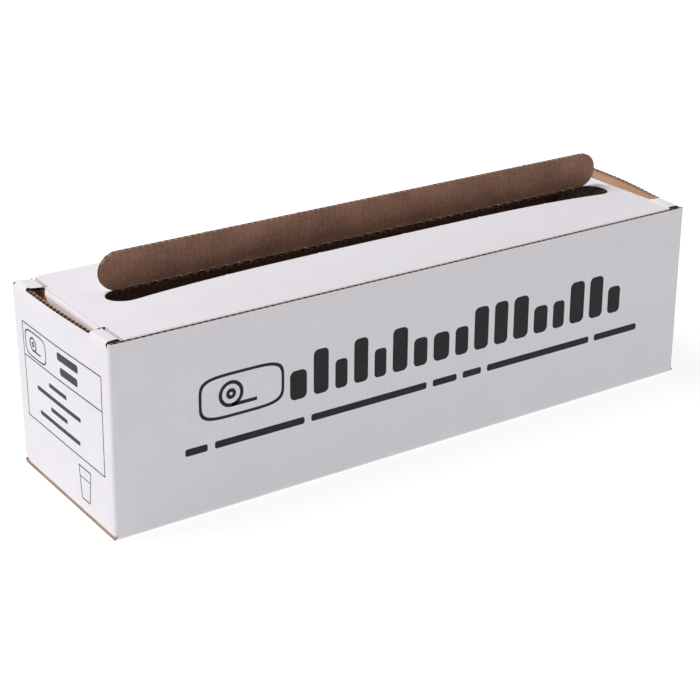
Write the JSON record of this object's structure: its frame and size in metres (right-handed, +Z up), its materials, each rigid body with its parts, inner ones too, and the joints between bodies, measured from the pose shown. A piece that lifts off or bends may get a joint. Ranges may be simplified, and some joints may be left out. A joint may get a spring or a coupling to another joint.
{
  "type": "cling film dispenser",
  "caption": "Folded corrugated board carton that holds a loose roll of cling film and lets the film out through a slot under a lift-up flap.",
  "frame": {"origin": "centre of the resting face", "axes": "+X along the roll to the right, -Y to the front panel, +Z up through the lid"},
  "size_m": [0.322, 0.09, 0.1083],
  "materials": {
    "white_board": "white outer liner of corrugated board",
    "kraft_board": "brown inner liner of corrugated board",
    "core_board": "spiral-wound grey-brown tube board",
    "film": "clear stretch film, milky where wound"
  },
  "bodies": {
    "carton": {"front_panel": "white_board", "bottom_panel": "white_board", "back_panel": "white_board", "left_end_panel": "white_board", "right_end_panel": "white_board", "left_front_bridge": "white_board", "left_back_bridge": "white_board", "right_front_bridge": "white_board", "right_back_bridge": "white_board", "left_inner_panel": "white_board", "right_inner_panel": "white_board", "left_dust_flap": "white_board", "right_dust_flap": "white_board"},
    "lid": {"lid_panel": "white_board", "left_lid_ear": "white_board"},
    "right_ear": {"right_lid_ear": "white_board"},
    "tuck_flap": {"front_tuck_flap": "white_board"},
    "flap": {"dispensing_flap": "kraft_board"},
    "roll": {"core_tube": "core_board", "film_winding": "film", "film_tail": "film"}
  },
  "joints": [
    {"name": "lid_hinge", "type": "hinge", "parent": "carton", "child": "lid", "pos_m": [0, 0.045, 0.09], "axis": [-1, 0, 0], "range_deg": [0, 180]},
    {"name": "flap_hinge", "type": "hinge", "parent": "lid", "child": "flap", "pos_m": [0, 0.0092, 0.09], "axis": [-1, 0, 0], "range_deg": [-88, 82]},
    {"name": "tuck_crease", "type": "hinge", "parent": "lid", "child": "tuck_flap", "pos_m": [0, -0.0415, 0.0884], "axis": [1, 0, 0], "range_deg": [0, 35]},
    {"name": "right_ear_crease", "type": "hinge", "parent": "lid", "child": "right_ear", "pos_m": [0.1516, 0, 0.0884], "axis": [0, 1, 0], "range_deg": [0, 60]},
    {"name": "roll_spin", "type": "hinge", "parent": "carton", "child": "roll", "pos_m": [0, 0, 0.03775], "axis": [1, 0, 0], "continuous": true}
  ]
}
